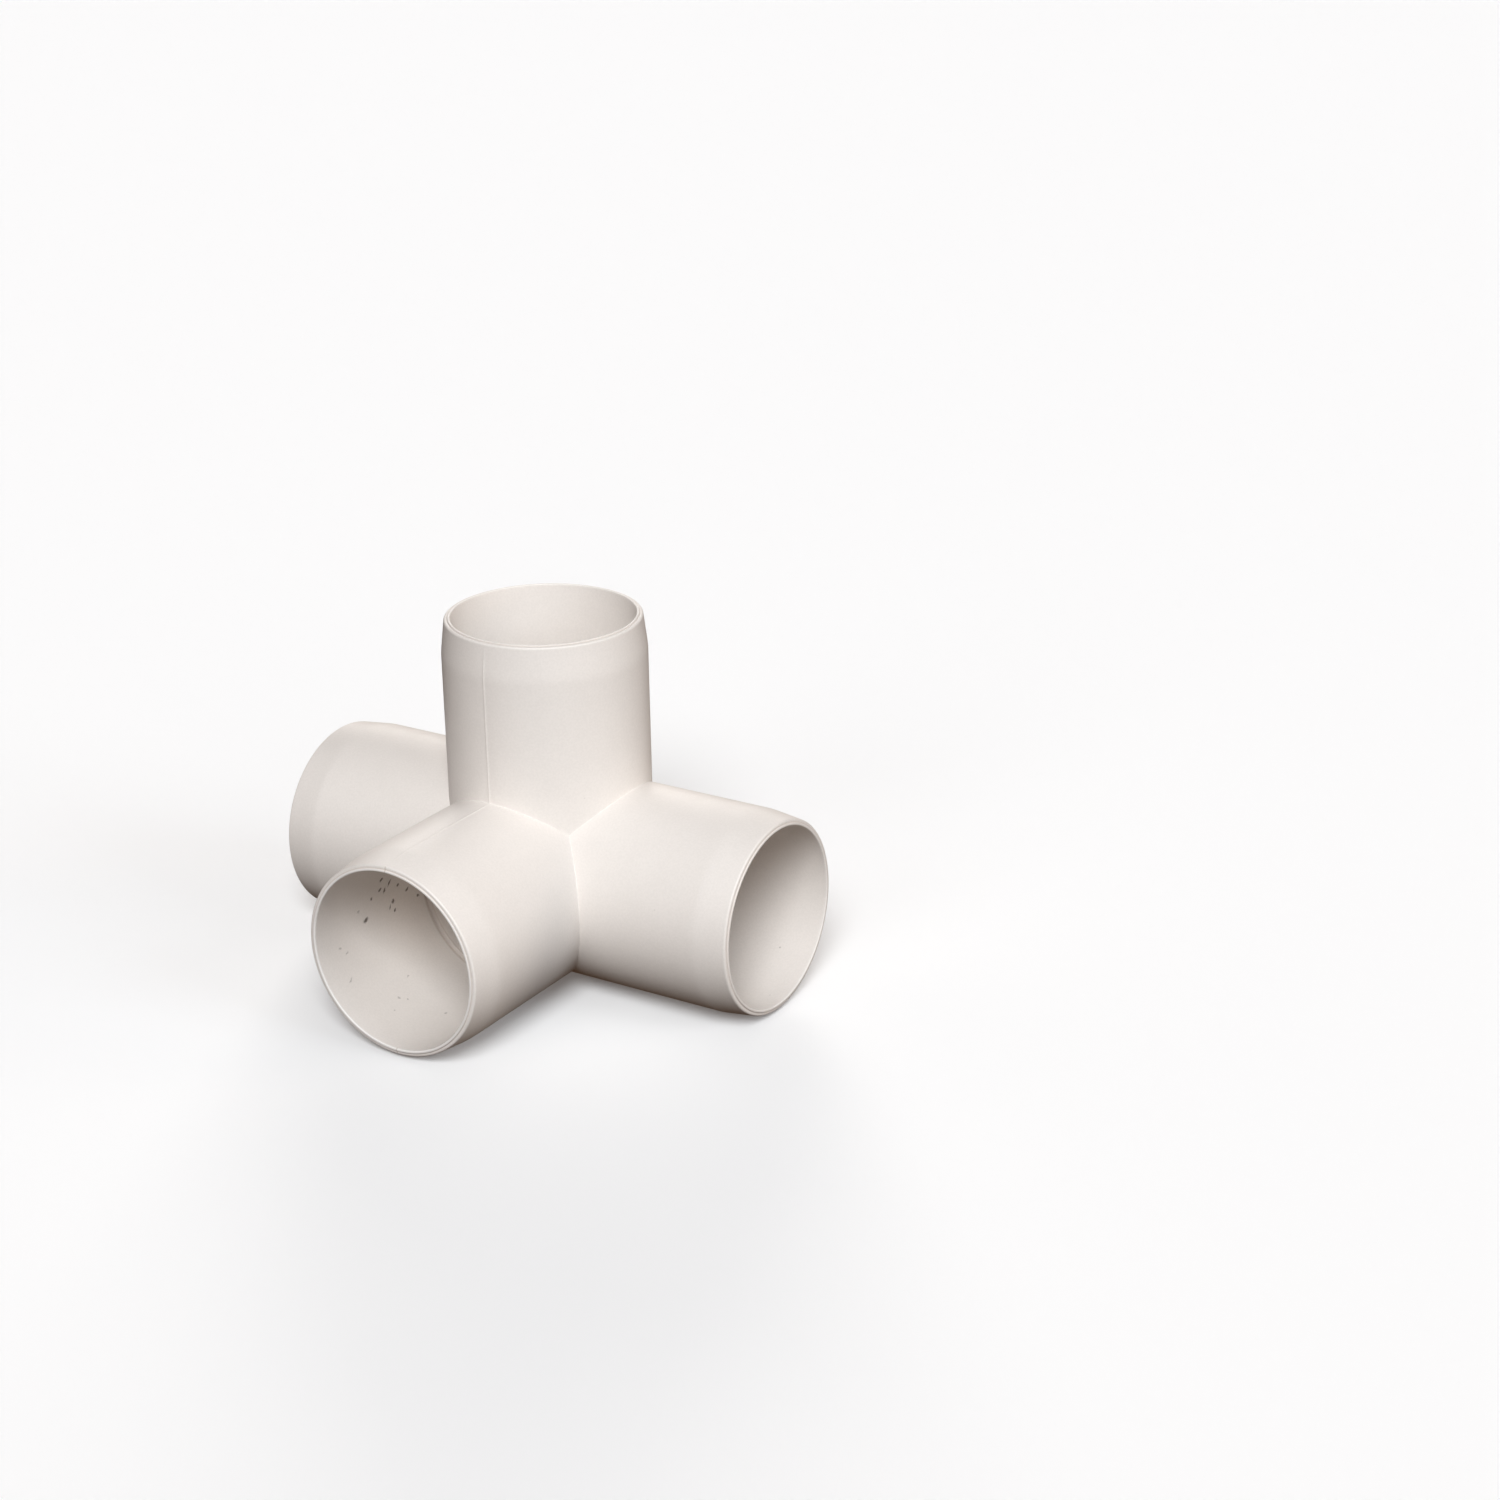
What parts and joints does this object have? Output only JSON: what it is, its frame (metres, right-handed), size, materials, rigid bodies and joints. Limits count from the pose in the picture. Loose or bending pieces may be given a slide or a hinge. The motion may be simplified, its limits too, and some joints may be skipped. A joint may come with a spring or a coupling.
{
  "type": "pipe tee fitting",
  "caption": "White plastic side outlet tee: a straight run, a branch and an outlet at right angles, with equal plain slip sockets round an open hub.",
  "frame": {"origin": "the point where the centre lines of the joined pipes cross", "axes": "+X along the straight run to its right socket, -Y along the branch, +Z along the outlet, upwards"},
  "size_m": [0.098, 0.0678, 0.0678],
  "materials": {
    "moulding": "satin"
  },
  "bodies": {
    "root": {"hub": "moulding", "run_socket_right": "moulding", "run_socket_left": "moulding", "branch_socket": "moulding", "outlet_socket": "moulding"}
  },
  "joints": []
}
